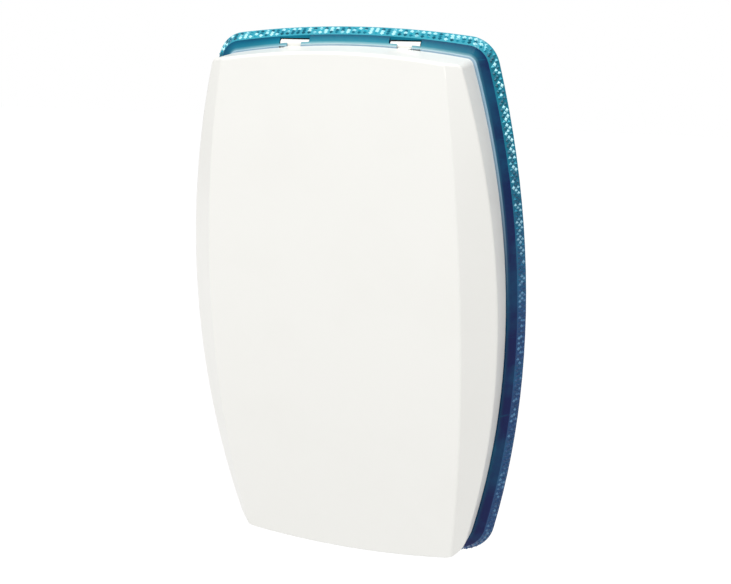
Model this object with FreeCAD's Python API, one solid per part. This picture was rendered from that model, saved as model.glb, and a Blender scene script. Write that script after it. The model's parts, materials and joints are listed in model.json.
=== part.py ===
import FreeCAD, Part
import math
import os
from FreeCAD import Vector

# External alarm siren (bell box) for a building wall.  Millimetres, +Z up.
# The origin is on the wall plane, behind the middle of the housing.  The front faces -Y,
# so "depth" is the distance out from the wall (depth = -y).  +X is to the right, seen from the front.

# ---- outline of the lens ring, the widest piece ----
HEIGHT = 300.0
WIDTH = 189.0
CORNER_HALF_WIDTH = 75.0
CORNER_HALF_HEIGHT = 144.6
TOP_CORNER_RADIUS = 17.0
TOP_CORNER_SHRINK = 1.5           # the top corners tighten this much for each millimetre of inset
BOTTOM_CORNER_RADIUS = 22.0
SMALLEST_CORNER = 1.0

# ---- stack of depths, out from the wall ----
BASE_THICKNESS = 2.5
LENS_REAR = BASE_THICKNESS
LENS_BREAK = 7.9                  # where the prism band turns into the smooth band
LENS_FRONT = 10.9
LAND_THICKNESS = 2.2
SEAL_FRONT = 11.7
COVER_REAR = 11.9
BOARD_REAR = 12.0
BOARD_THICKNESS = 1.6
BOARD_FRONT = BOARD_REAR + BOARD_THICKNESS

# ---- distances in from the lens ring's outline ----
BREAK_INSET = 3.5
LENS_FRONT_INSET = 8.15
OPENING_INSET = 13.5
COVER_INSET = 8.65
SEAL_INSET = 9.1
SEAL_WIDTH = 2.0
BASE_INSET = 1.5
UPSTAND_INSET = 14.5
UPSTAND_FRONT = 5.0
LENS_WALL = 2.3

# ---- front cover ----
COVER_WALL = 3.0
RIM_CHAMFER = 0.6
CROWN_RADIUS = 884.0              # the front face is an arc of this radius, seen from the side
CROWN_DEPTH = 45.8                # furthest point of the front from the wall
CROWN_HEIGHT = 22.0               # height of that point
RIDGE_MIDDLE = 70.2               # half-distance between the two long ridges
RIDGE_END = 59.7
RIDGE_LEAN = -1.2
FACET_MIDDLE = 30.5               # depth of a side facet's outer edge
FACET_END = 28.3
FACET_LEAN = 3.9                  # the side walls are this much deeper at the top
FACET_STATION = 140.0
EDGE_ROUND = 1.6
RIB_HEIGHT = 1.5
RIB_WIDTH = 1.4
RIB_HALF_LENGTH = 116.0
RIB_HALF_SPAN = 57.0
RIBS_X = (-52.0, -26.0, 0.0, 26.0, 52.0)
RIBS_Z = (-100.0, -60.0, -20.0, 20.0, 60.0, 100.0)

# ---- hinge at the top of the lens ring ----
HINGE_DEPTH = 7.3
HINGE_Z = 140.9
HOOK_CENTRE = 30.4
HOOK_WIDTH = 16.0
HOOK_RADIUS = 2.6
HOOK_ARM_WIDTH = 7.0
PIN_RADIUS = 1.1
PIN_CLEARANCE = 0.06
PIN_LENGTH = 23.0
LUG_WIDTH = 3.8
NOTCH_MARGIN = 0.5
NOTCH_REAR = 4.2
NOTCH_FLOOR = 135.5
NOTCH_ROOF = 144.2                # underside of the prism band over a hook's eye
LIP_REAR = 10.05
LIP_BOTTOM = 140.0

# ---- cover screw, pushed up through the bottom of the cover ----
SCREW_DEPTH = 20.0
SCREW_RADIUS = 2.0
SCREW_HEAD_RADIUS = 3.8
SCREW_HEAD_BOTTOM = -141.2
SCREW_HEAD_HEIGHT = 2.2
SCREW_SHANK = 7.5
SCREW_WASHER = 0.8
SCREW_BOSS_RADIUS = 6.5
SCREW_BOSS_TOP = -131.7
SCREW_BOSS_FLOOR = 1.4
POST_BOTTOM = -130.2
POST_TOP = -117.0
INSERT_LENGTH = 8.0
INSERT_RADIUS = 3.0

# ---- circuit board ----
BOARD_HALF_WIDTH = 62.0
BOARD_BOTTOM = 28.0
BOARD_TOP = 110.0
BOARD_HOLE_X = 56.0
BOARD_HOLES_Z = (34.0, 104.0)

# ---- sounder ----
SOUNDER_X = 24.0
SOUNDER_Z = -55.0
SOUNDER_RADIUS = 44.0
SOUNDER_REAR = 3.0
SOUNDER_FRONT = 24.0
HORN_FRONT = 26.5
HORN_MOUTH_RADIUS = 38.0
HORN_THROAT_RADIUS = 9.0

# ---- battery pack: two layers of three upright cells ----
CELL_RADIUS = 7.1
CELL_LENGTH = 49.5
CELL_PITCH = 14.3
BATTERY_X = -45.0
BATTERY_DEPTH = 11.4
BATTERY_BOTTOM = -102.0
SLEEVE_WALL = 0.4
SLEEVE_GAP = 0.05

# ---- fixings and small pieces ----
WALL_HOLE_X = 52.0
WALL_HOLE_Z = 118.0
WALL_HOLE_RADIUS = 2.75
CABLE_Z = 12.0
CABLE_RADIUS = 5.0
GROMMET_RADIUS = 9.0
LENS_SCREW_INSET = 10.2
LENS_SCREWS_Z = (-105.0, -40.0, 40.0, 105.0)
TAMPER_X = 25.0
TAMPER_Z = 84.0
WALL_TAMPER_X = -30.0
WALL_TAMPER_Z = 12.0
VIAL_Z = 122.0
VIAL_DEPTH = 8.0
VIAL_RADIUS = 4.0
VIAL_LENGTH = 30.0
LED_STRIP_X = 69.0
LED_STRIP_BOTTOM = 12.0
LED_STRIP_TOP = 68.0
BATTERY_PLUG_X = -50.0
SOUNDER_PLUG_X = 42.0
PLUG_BOTTOM = 38.0
LEAD_RADIUS = 0.9
LEAD_PITCH = 2.6


# ---------------------------------------------------------------- helpers
def at(x, depth, z):
    """Point given by how far it is right, out from the wall, and up."""
    return Vector(x, -depth, z)


def span_about(middle, half):
    """(low, high) range about a middle value."""
    return (middle - half, middle + half)


def box(x, depth, z):
    """Box from three (low, high) ranges."""
    return Part.makeBox(x[1] - x[0], depth[1] - depth[0], z[1] - z[0], at(x[0], depth[1], z[0]))


def peg(x, z, radius, near, far):
    """Cylinder that stands out from the wall, from depth near to depth far."""
    return Part.makeCylinder(radius, far - near, at(x, near, z), Vector(0, -1, 0))


def upright(x, depth, radius, bottom, top):
    """Cylinder along Z."""
    return Part.makeCylinder(radius, top - bottom, at(x, depth, bottom), Vector(0, 0, 1))


def fuse_all(solids):
    """One solid out of many that touch or overlap."""
    return solids[0].multiFuse(solids[1:]).removeSplitter()


def outline_x(z, inset):
    """Half-width of the barrel outline at height z, inset from the lens ring's edge."""
    bulge = WIDTH / 2 - CORNER_HALF_WIDTH
    radius = (CORNER_HALF_HEIGHT ** 2 + bulge ** 2) / (2 * bulge)
    return WIDTH / 2 - radius + math.sqrt(radius ** 2 - z ** 2) - inset


def front_depth(z):
    """Depth of the cover's crowned front face at height z."""
    return CROWN_DEPTH - CROWN_RADIUS + math.sqrt(CROWN_RADIUS ** 2 - (z - CROWN_HEIGHT) ** 2)


def barrel(inset, near, far):
    """Solid with the housing's barrel outline: four bowed sides and rounded corners."""
    side = WIDTH / 2 - inset
    end = HEIGHT / 2 - inset
    cx = CORNER_HALF_WIDTH - inset
    cz = CORNER_HALF_HEIGHT - inset
    right = Part.Arc(at(cx, near, -cz), at(side, near, 0), at(cx, near, cz)).toShape()
    top = Part.Arc(at(cx, near, cz), at(0, near, end), at(-cx, near, cz)).toShape()
    left = Part.Arc(at(-cx, near, cz), at(-side, near, 0), at(-cx, near, -cz)).toShape()
    bottom = Part.Arc(at(-cx, near, -cz), at(0, near, -end), at(cx, near, -cz)).toShape()
    prism = Part.Face(Part.Wire([right, top, left, bottom])).extrude(Vector(0, near - far, 0))
    radii = ((1, TOP_CORNER_RADIUS - TOP_CORNER_SHRINK * inset), (-1, BOTTOM_CORNER_RADIUS - inset))
    for sign, radius in radii:
        edges = [e for e in prism.Edges if is_corner_edge(e, cx, cz, sign)]
        prism = prism.makeFillet(max(radius, SMALLEST_CORNER), edges)
    return prism


def is_corner_edge(edge, cx, cz, sign):
    """True for the straight edge along Y at one of the outline's two corners on that side."""
    point = edge.CenterOfMass
    return abs(abs(point.x) - cx) < 0.01 and abs(point.z - sign * cz) < 0.01


def barrel_wire(inset, depth):
    """The barrel outline as a wire at one depth."""
    prism = barrel(inset, depth, depth + 1)
    face = max(prism.Faces, key=lambda f: f.CenterOfMass.y)
    return face.OuterWire


def tapered(insets, depths):
    """Solid whose outline moves in from one inset to the other between two depths."""
    wires = [barrel_wire(inset, depth) for inset, depth in zip(insets, depths)]
    return Part.makeLoft(wires, True, True)


def round_edges(solid, radius, wanted):
    """Round those edges of a solid that the test picks out."""
    return solid.makeFillet(radius, [e for e in solid.Edges if wanted(e)])


def pan_screw(x, z, head_depth, tip_depth, head_radius, shank_radius):
    """Pan-head screw driven towards the wall, with a cross recess; head_depth is under the head."""
    height = head_radius * 0.62
    head = peg(x, z, head_radius, head_depth, head_depth + height)
    head = round_edges(head, height * 0.45, lambda e: e.CenterOfMass.y < -head_depth - height + 0.01)
    screw = head.fuse(peg(x, z, shank_radius, tip_depth, head_depth))
    arm = head_radius * 0.55
    slot = head_radius * 0.11
    top = (head_depth + height * 0.4, head_depth + height + 1)
    screw = screw.cut(box((x - arm, x + arm), top, (z - slot, z + slot)))
    return screw.cut(box((x - slot, x + slot), top, (z - arm, z + arm)))


def coil(x, z, radius, wire, near, far, turns):
    """Compression spring whose axis stands out from the wall."""
    length = far - near - 2 * wire
    helix = Part.makeHelix(length / turns, length, radius)
    start = Vector(radius, 0, 0)
    profile = Part.Wire(Part.Circle(start, Vector(0, 1, 0), wire).toShape())
    spring = Part.Wire(helix).makePipeShell([profile], True, True)
    spring.rotate(Vector(0, 0, 0), Vector(1, 0, 0), 90)
    spring.translate(at(x, near + wire, z))
    return spring


def lead(points, radius):
    """Round wire along straight runs joined by tangent arcs, each as large as its runs allow."""
    edges = []
    start = points[0]
    for before, corner, after in zip(points, points[1:], points[2:]):
        run_in = (before - corner).normalize()
        run_out = (after - corner).normalize()
        reach = 0.45 * min((before - corner).Length, (after - corner).Length)
        middle_turn = run_in.getAngle(run_out) / 2
        bend = reach * math.tan(middle_turn)
        bisector = (run_in + run_out).normalize()
        nearest = corner + bisector * (bend / math.sin(middle_turn) - bend)
        first = corner + run_in * reach
        last = corner + run_out * reach
        edges.append(Part.LineSegment(start, first).toShape())
        edges.append(Part.Arc(first, nearest, last).toShape())
        start = last
    edges.append(Part.LineSegment(start, points[-1]).toShape())
    along = (points[1] - points[0]).normalize()
    profile = Part.Wire(Part.Circle(points[0], along, radius).toShape())
    return Part.Wire(edges).makePipeShell([profile], True, True)


# ---------------------------------------------------------------- base
def lens_screw_places():
    """Centres of the screws that hold the lens ring to the back plate."""
    places = [(sign * outline_x(z, LENS_SCREW_INSET), z) for z in LENS_SCREWS_Z for sign in (-1, 1)]
    end = HEIGHT / 2 - LENS_SCREW_INSET
    return places + [(0, end), (0, -end)]


def hinge_notches():
    """Space round the two hinge hooks: a pocket and a window for each eye, a slot in the lip for its arm."""
    above = HEIGHT / 2 + 1
    ahead = COVER_REAR + 1
    notches = []
    for centre in (-HOOK_CENTRE, HOOK_CENTRE):
        eye = span_about(centre, HOOK_WIDTH / 2 + NOTCH_MARGIN)
        arm = span_about(centre, HOOK_ARM_WIDTH / 2 + NOTCH_MARGIN)
        notches.append(box(eye, (NOTCH_REAR, LENS_BREAK), (NOTCH_FLOOR, NOTCH_ROOF)))
        notches.append(box(eye, (LENS_BREAK, LIP_REAR), (NOTCH_FLOOR, above)))
        notches.append(box(eye, (LIP_REAR, ahead), (NOTCH_FLOOR, LIP_BOTTOM)))
        notches.append(box(arm, (LIP_REAR, ahead), (NOTCH_FLOOR, above)))
    return notches


def hinge_lugs():
    """Blocks on both sides of each notch that hold the ends of the hinge pins."""
    depths = (HINGE_DEPTH - 2.2, LENS_FRONT - 1.5)
    heights = (HINGE_Z - 2.4, HINGE_Z + 4)
    lugs = []
    for centre in (-HOOK_CENTRE, HOOK_CENTRE):
        for side in (-1, 1):
            near = centre + side * (HOOK_WIDTH / 2 + NOTCH_MARGIN)
            far = near + side * LUG_WIDTH
            lugs.append(box((min(near, far), max(near, far)), depths, heights))
    return lugs


def back_plate():
    """Moulded base: plate, upstand wall, standoffs, screw post and the clips for inner pieces."""
    wall = barrel(UPSTAND_INSET, BASE_THICKNESS, UPSTAND_FRONT)
    wall = wall.cut(barrel(UPSTAND_INSET + 2, BASE_THICKNESS, UPSTAND_FRONT))
    parts = [barrel(BASE_INSET, 0, BASE_THICKNESS), wall]
    for z in BOARD_HOLES_Z:
        for x in (-BOARD_HOLE_X, BOARD_HOLE_X):
            parts.append(peg(x, z, 3.6, BASE_THICKNESS, BOARD_REAR))
    parts.append(box((-8, 8), (BASE_THICKNESS, 27), (POST_BOTTOM, POST_TOP)))
    parts += [vial_clip(x) for x in (-10, 10)]
    parts += sounder_standoffs() + battery_cradle()
    plate = fuse_all(parts)
    for cutter in base_holes():
        plate = plate.cut(cutter)
    return plate


def vial_clip(x):
    """Saddle that grips the level vial from below."""
    saddle = box((x - 2, x + 2), (BASE_THICKNESS, VIAL_DEPTH), (VIAL_Z - 6, VIAL_Z + 6))
    return saddle.cut(Part.makeCylinder(VIAL_RADIUS, 6, at(x - 3, VIAL_DEPTH, VIAL_Z), Vector(1, 0, 0)))


def sounder_ears():
    """Centres of the three screws round the sounder."""
    reach = SOUNDER_RADIUS + 4.5
    angles = [math.radians(a) for a in (90, 215, 325)]
    return [(SOUNDER_X + reach * math.cos(a), SOUNDER_Z + reach * math.sin(a)) for a in angles]


def sounder_standoffs():
    """Posts under the sounder's ears."""
    return [peg(x, z, 3.6, BASE_THICKNESS, SOUNDER_FRONT) for x, z in sounder_ears()]


def strap_feet():
    """Centres of the two battery strap screws."""
    reach = 1.5 * CELL_PITCH + 6.0
    return [(BATTERY_X - reach, BATTERY_BOTTOM + 90), (BATTERY_X + reach, BATTERY_BOTTOM + 90)]


def battery_cradle():
    """Bed and end stop for the battery pack, and pads for the strap's feet."""
    half = 1.5 * CELL_PITCH
    rear = BATTERY_DEPTH - CELL_RADIUS - SLEEVE_WALL - 2 * SLEEVE_GAP
    low = BATTERY_BOTTOM
    bed = [box((BATTERY_X - half, BATTERY_X + half), (BASE_THICKNESS, rear), (low + z, low + z + 4))
           for z in (12, 60)]
    stop = box((BATTERY_X - half, BATTERY_X + half), (BASE_THICKNESS, 14), (low - 2.6, low - 0.6))
    pads = [box((x - 4, x + 4), (BASE_THICKNESS, 7), (z - 5, z + 5)) for x, z in strap_feet()]
    return bed + [stop] + pads


def base_holes():
    """Everything that goes through or into the back plate."""
    through = (-1, BASE_THICKNESS + 1)
    holes = [peg(x, z, WALL_HOLE_RADIUS, *through)
             for x in (-WALL_HOLE_X, WALL_HOLE_X) for z in (-WALL_HOLE_Z, WALL_HOLE_Z)]
    holes.append(peg(0, CABLE_Z, GROMMET_RADIUS, *through))
    holes.append(peg(WALL_TAMPER_X, WALL_TAMPER_Z, 2.6, *through))
    for x, z in lens_screw_places():
        holes.append(peg(x, z, 1.3, *through))
        holes.append(peg(x, z, 2.9, -1, 1.4))
    for z in BOARD_HOLES_Z:
        holes += [peg(x, z, 1.1, BOARD_REAR - 8, BOARD_REAR + 1) for x in (-BOARD_HOLE_X, BOARD_HOLE_X)]
    holes += [peg(x, z, 1.1, SOUNDER_FRONT - 8, SOUNDER_FRONT + 1) for x, z in sounder_ears()]
    holes += [peg(x, z, 1.1, 1.5, 8) for x, z in strap_feet()]
    holes.append(upright(0, SCREW_DEPTH, INSERT_RADIUS, POST_BOTTOM - 1, POST_BOTTOM + INSERT_LENGTH))
    gasket = barrel(UPSTAND_INSET, -1, 1.5).cut(barrel(UPSTAND_INSET + 5, -1, 1.5))
    return holes + [gasket]


def wall_gasket():
    """Foam strip in the groove round the rear face, pressed flush with the wall plane."""
    return barrel(UPSTAND_INSET, 0, 1.5).cut(barrel(UPSTAND_INSET + 5, 0, 1.5))


def lens_ring():
    """Translucent ring: a steep prism band, a smooth band, a flat land for the seal, screw bosses."""
    outer = tapered((0, BREAK_INSET), (LENS_REAR, LENS_BREAK))
    outer = outer.fuse(tapered((BREAK_INSET, LENS_FRONT_INSET), (LENS_BREAK, LENS_FRONT)))
    land_rear = LENS_FRONT - LAND_THICKNESS
    inner = tapered((LENS_WALL, BREAK_INSET + LENS_WALL), (LENS_REAR, LENS_BREAK - 0.8))
    inner = inner.fuse(tapered((BREAK_INSET + LENS_WALL, LENS_FRONT_INSET + 1.6),
                               (LENS_BREAK - 0.8, land_rear)))
    ring = outer.cut(inner)
    bosses = [peg(x, z, 2.9, LENS_REAR, land_rear + 0.5) for x, z in lens_screw_places()]
    lugs = [lug.common(outer) for lug in hinge_lugs()]
    ring = fuse_all([ring] + bosses + lugs)
    ring = ring.cut(barrel(OPENING_INSET, LENS_REAR - 1, LENS_FRONT + 1))
    ring = ring.cut(seal_band(LENS_FRONT - 1.2, LENS_FRONT + 1))
    for x, z in lens_screw_places():
        ring = ring.cut(peg(x, z, 1.1, LENS_REAR - 1, LENS_FRONT - 2.2))
    for notch in hinge_notches():
        ring = ring.cut(notch)
    for pin in hinge_pins():
        ring = ring.cut(pin)
    return ring


def seal_band(near, far):
    """Band round the housing where the cover's rim meets the lens ring."""
    return barrel(SEAL_INSET, near, far).cut(barrel(SEAL_INSET + SEAL_WIDTH, near, far))


def cover_seal():
    """Rubber cord in the lens ring's groove, left out where the hinge hooks pass."""
    seal = seal_band(LENS_FRONT - 1.2, SEAL_FRONT)
    for notch in hinge_notches():
        seal = seal.cut(notch)
    return seal


def hinge_pins():
    """Two steel pins across the lens ring's notches; the cover swings on them."""
    starts = [sign * HOOK_CENTRE - PIN_LENGTH / 2 for sign in (-1, 1)]
    along = Vector(1, 0, 0)
    return [Part.makeCylinder(PIN_RADIUS, PIN_LENGTH, at(x, HINGE_DEPTH, HINGE_Z), along) for x in starts]


def lens_screws():
    """Self-tapping screws put in from behind, through the back plate into the lens bosses."""
    screws = []
    for x, z in lens_screw_places():
        screw = peg(x, z, 2.6, 0.2, 1.4).fuse(peg(x, z, 1.1, 1.4, 7.5))
        screws.append(screw.cut(box((x - 1.6, x + 1.6), (-1, 0.8), (z - 0.3, z + 0.3))))
    return Part.makeCompound(screws)


def cable_grommet():
    """Rubber bush in the cable entry, flanged on the inside."""
    bush = peg(0, CABLE_Z, GROMMET_RADIUS, 0, BASE_THICKNESS + 1.5)
    bush = bush.fuse(peg(0, CABLE_Z, GROMMET_RADIUS + 2.5, BASE_THICKNESS, BASE_THICKNESS + 1.5))
    return bush.cut(peg(0, CABLE_Z, CABLE_RADIUS, -1, BASE_THICKNESS + 3))


def screw_insert():
    """Threaded brass insert in the back plate's post."""
    insert = upright(0, SCREW_DEPTH, INSERT_RADIUS, POST_BOTTOM, POST_BOTTOM + INSERT_LENGTH)
    hole = upright(0, SCREW_DEPTH, SCREW_RADIUS + 0.05, POST_BOTTOM - 1, POST_BOTTOM + INSERT_LENGTH - 1)
    return insert.cut(hole)


def level_vial():
    """Closed tube of the spirit level."""
    start = at(-VIAL_LENGTH / 2, VIAL_DEPTH, VIAL_Z)
    tube = Part.makeCylinder(VIAL_RADIUS, VIAL_LENGTH, start, Vector(1, 0, 0))
    bore = Part.makeCylinder(VIAL_RADIUS - 0.9, VIAL_LENGTH - 3, start + Vector(1.5, 0, 0), Vector(1, 0, 0))
    return tube.cut(bore)


def level_bubble():
    """Air bubble in the vial."""
    radius = VIAL_RADIUS - 1.5
    start = at(-4.5, VIAL_DEPTH, VIAL_Z)
    bubble = Part.makeCylinder(radius, 9, start, Vector(1, 0, 0))
    return round_edges(bubble, radius * 0.8, lambda e: e.Closed)


# ---------------------------------------------------------------- electronics
def circuit_board():
    """Main board on four standoffs."""
    board = box((-BOARD_HALF_WIDTH, BOARD_HALF_WIDTH), (BOARD_REAR, BOARD_FRONT), (BOARD_BOTTOM, BOARD_TOP))
    board = round_edges(board, 3.0, lambda e: abs(e.Length - BOARD_THICKNESS) < 0.01)
    for z in BOARD_HOLES_Z:
        for x in (-BOARD_HOLE_X, BOARD_HOLE_X):
            board = board.cut(peg(x, z, 1.6, BOARD_REAR - 1, BOARD_FRONT + 1))
    return board


def board_screws():
    """Screws that hold the board to its standoffs."""
    places = [(x, z) for z in BOARD_HOLES_Z for x in (-BOARD_HOLE_X, BOARD_HOLE_X)]
    return Part.makeCompound([pan_screw(x, z, BOARD_FRONT, 6.0, 2.9, 1.1) for x, z in places])


def terminal_places():
    """X of each way of the terminal block."""
    return [-27.5 + 5 * way for way in range(12)]


def terminal_block():
    """Row of screw terminals along the board's lower edge."""
    block = box((-30.5, 30.5), (BOARD_FRONT, BOARD_FRONT + 10.5), (29.5, 37.5))
    block = block.cut(box((-31, 31), (BOARD_FRONT + 7.5, BOARD_FRONT + 11), (35.2, 38)))
    for x in terminal_places():
        block = block.cut(peg(x, 32.2, 1.75, BOARD_FRONT + 5.5, BOARD_FRONT + 11))
        block = block.cut(box((x - 1.5, x + 1.5), (BOARD_FRONT + 1, BOARD_FRONT + 4.5), (29, 32.5)))
    return block


def terminal_screws():
    """Clamp screws of the terminal block."""
    screws = []
    for x in terminal_places():
        screw = peg(x, 32.2, 1.65, BOARD_FRONT + 5.5, BOARD_FRONT + 9)
        screws.append(screw.cut(box((x - 2, x + 2), (BOARD_FRONT + 8.2, BOARD_FRONT + 10), (31.95, 32.45))))
    return Part.makeCompound(screws)


def capacitors():
    """Three electrolytic capacitors standing on the board."""
    cans = []
    for x, z in ((-50, 88), (-38, 90), (-26, 93)):
        can = peg(x, z, 5, BOARD_FRONT, BOARD_FRONT + 14)
        can = round_edges(can, 0.6, lambda e: e.Closed and e.CenterOfMass.y < -BOARD_FRONT - 1)
        cans.append(can.cut(box((x - 3.4, x + 3.4), (BOARD_FRONT + 13.7, BOARD_FRONT + 15), (z - 0.2, z + 0.2))))
    return Part.makeCompound(cans)


def driver_chips():
    """Integrated circuits, each with a row of legs along both sides."""
    chips = []
    for x, z, half_x, half_z in ((-30, 66, 5, 7), (-12, 86, 4, 5), (2, 96, 3, 3), (8, 76, 2.5, 3.5)):
        parts = [box((x - half_x, x + half_x), (BOARD_FRONT + 0.3, BOARD_FRONT + 2.2), (z - half_z, z + half_z))]
        legs = int(half_z)
        for leg in range(legs):
            leg_z = z + (leg - (legs - 1) / 2) * 1.6
            reach = half_x + 1.1
            parts.append(box((x - reach, x + reach), (BOARD_FRONT, BOARD_FRONT + 0.7), (leg_z - 0.3, leg_z + 0.3)))
        chips.append(fuse_all(parts))
    return Part.makeCompound(chips)


def sounder_transformer():
    """Step-up transformer for the sounder: a wound bobbin between two flanges, and its core."""
    depth = (BOARD_FRONT, BOARD_FRONT + 12)
    core = box((38, 54), depth, (60, 66)).fuse(box((38, 54), depth, (74, 80)))
    core = core.fuse(box((38, 41), depth, (60, 80))).fuse(box((51, 54), depth, (60, 80)))
    return core.fuse(box((41, 51), (BOARD_FRONT + 1, BOARD_FRONT + 10), (66, 74))).removeSplitter()


def plug(x):
    """Two-way lead connector."""
    return box((x - 4, x + 4), (BOARD_FRONT, BOARD_FRONT + 7), (PLUG_BOTTOM, PLUG_BOTTOM + 9))


def comfort_leds():
    """Two round indicator lamps at the board's top edge, aimed up at the lens ring."""
    lamps = []
    for x in (-42, 42):
        dome = Part.makeSphere(2.5, at(x, BOARD_FRONT + 3.2, BOARD_TOP - 1))
        lamp = upright(x, BOARD_FRONT + 3.2, 2.5, BOARD_TOP - 7, BOARD_TOP - 1).fuse(dome)
        lamps.append(lamp.fuse(upright(x, BOARD_FRONT + 3.2, 2.9, BOARD_TOP - 8, BOARD_TOP - 7)).removeSplitter())
    return Part.makeCompound(lamps)


def led_strips():
    """Two narrow lamp boards that stand beside the main board and face the lens ring."""
    spans = ((LED_STRIP_X, LED_STRIP_X + 1.6), (-LED_STRIP_X - 1.6, -LED_STRIP_X))
    return Part.makeCompound([box(s, (BASE_THICKNESS, 14), (LED_STRIP_BOTTOM, LED_STRIP_TOP)) for s in spans])


def strobe_leds():
    """Strobe lamps along both lamp boards."""
    lamps = []
    for index in range(6):
        z = LED_STRIP_BOTTOM + 6 + index * 8.8
        for side in (-1, 1):
            low = side * (LED_STRIP_X + 1.6)
            body = box(sorted((low, low + side * 1.2)), (5.5, 9), (z - 1.75, z + 1.75))
            dome = Part.makeCylinder(1.3, 0.7, at(low + side * 1.2, 7.25, z), Vector(side, 0, 0))
            lamps.append(body.fuse(dome))
    return Part.makeCompound(lamps)


def dip_switch_body():
    """Four-way setting switch with a slot for each slider."""
    body = box((6, 17), (BOARD_FRONT, BOARD_FRONT + 4.5), (56, 62.5))
    for x in dip_slider_places():
        body = body.cut(box((x - 0.75, x + 0.75), (BOARD_FRONT + 3, BOARD_FRONT + 5), (57.2, 61.3)))
    return body


def dip_slider_places():
    """X of each slider of the setting switch."""
    return [7.69 + 2.54 * way for way in range(4)]


def dip_slider(x):
    """One slider, at the lower end of its slot."""
    return box((x - 0.65, x + 0.65), (BOARD_FRONT + 3.05, BOARD_FRONT + 5.2), (57.3, 59.1))


# ---------------------------------------------------------------- tamper switches
def cover_tamper_switch():
    """Switch body that the cover's plunger works."""
    body = box((TAMPER_X - 6.5, TAMPER_X + 6.5), (BOARD_FRONT, BOARD_FRONT + 8), (TAMPER_Z - 6.5, TAMPER_Z + 6.5))
    return body.cut(peg(TAMPER_X, TAMPER_Z, 1.6, BOARD_FRONT + 0.8, BOARD_FRONT + 9))


def cover_tamper_plunger():
    """Stem and flat head, held down by the cover's inner post."""
    stem = peg(TAMPER_X, TAMPER_Z, 1.5, BOARD_FRONT + 4.5, 31)
    head = round_edges(peg(TAMPER_X, TAMPER_Z, 4.2, 31, 33), 0.5, lambda e: e.CenterOfMass.y < -32.9)
    return stem.fuse(head)


def cover_tamper_spring():
    """Spring between the switch body and the plunger's head."""
    return coil(TAMPER_X, TAMPER_Z, 3.0, 0.35, BOARD_FRONT + 8.05, 30.95, 5)


def wall_tamper_housing():
    """Box over the wall plunger, open towards the wall."""
    x, z = WALL_TAMPER_X, WALL_TAMPER_Z
    shell = box((x - 7, x + 7), (BASE_THICKNESS, 16), (z - 7, z + 7))
    return shell.cut(peg(x, z, 5, BASE_THICKNESS - 1, 14))


def wall_tamper_plunger():
    """Plunger whose tip is level with the wall plane, with a collar inside the plate."""
    x, z = WALL_TAMPER_X, WALL_TAMPER_Z
    tip = round_edges(peg(x, z, 2.5, 0.1, 9.5), 0.6, lambda e: e.Closed)
    return tip.fuse(peg(x, z, 4.4, BASE_THICKNESS + 0.2, BASE_THICKNESS + 1.6))


def wall_tamper_spring():
    """Spring that presses the wall plunger out."""
    return coil(WALL_TAMPER_X, WALL_TAMPER_Z, 3.4, 0.35, BASE_THICKNESS + 1.65, 13.95, 5)


# ---------------------------------------------------------------- sounder
def sounder_housing():
    """Round cup with three screw ears."""
    x, z = SOUNDER_X, SOUNDER_Z
    parts = [peg(x, z, SOUNDER_RADIUS, SOUNDER_REAR, SOUNDER_FRONT)]
    for ear_x, ear_z in sounder_ears():
        arm = peg(ear_x, ear_z, 4.0, SOUNDER_FRONT, SOUNDER_FRONT + 2)
        reach = Vector((x - ear_x) * 0.12, 0, (z - ear_z) * 0.12)
        inner_ear = arm.copy()
        inner_ear.translate(reach)
        parts += [arm, inner_ear]
    parts.append(peg(x, z, SOUNDER_RADIUS, SOUNDER_FRONT, SOUNDER_FRONT + 2))
    cup = fuse_all(parts).cut(peg(x, z, SOUNDER_RADIUS - 2.5, SOUNDER_REAR + 2.5, SOUNDER_FRONT + 3))
    seat = peg(x, z, SOUNDER_RADIUS - 2.4, SOUNDER_REAR + 2.5, 8).cut(peg(x, z, 21, 0, 9))
    cup = cup.fuse(seat).removeSplitter()
    for ear_x, ear_z in sounder_ears():
        cup = cup.cut(peg(ear_x, ear_z, 1.6, SOUNDER_FRONT - 1, SOUNDER_FRONT + 3))
    return cup


def piezo_disc():
    """Brass diaphragm with its ceramic disc, seated round the edge."""
    x, z = SOUNDER_X, SOUNDER_Z
    return peg(x, z, 26, 8, 8.5).fuse(peg(x, z, 17, 8.5, 9.0))


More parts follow.
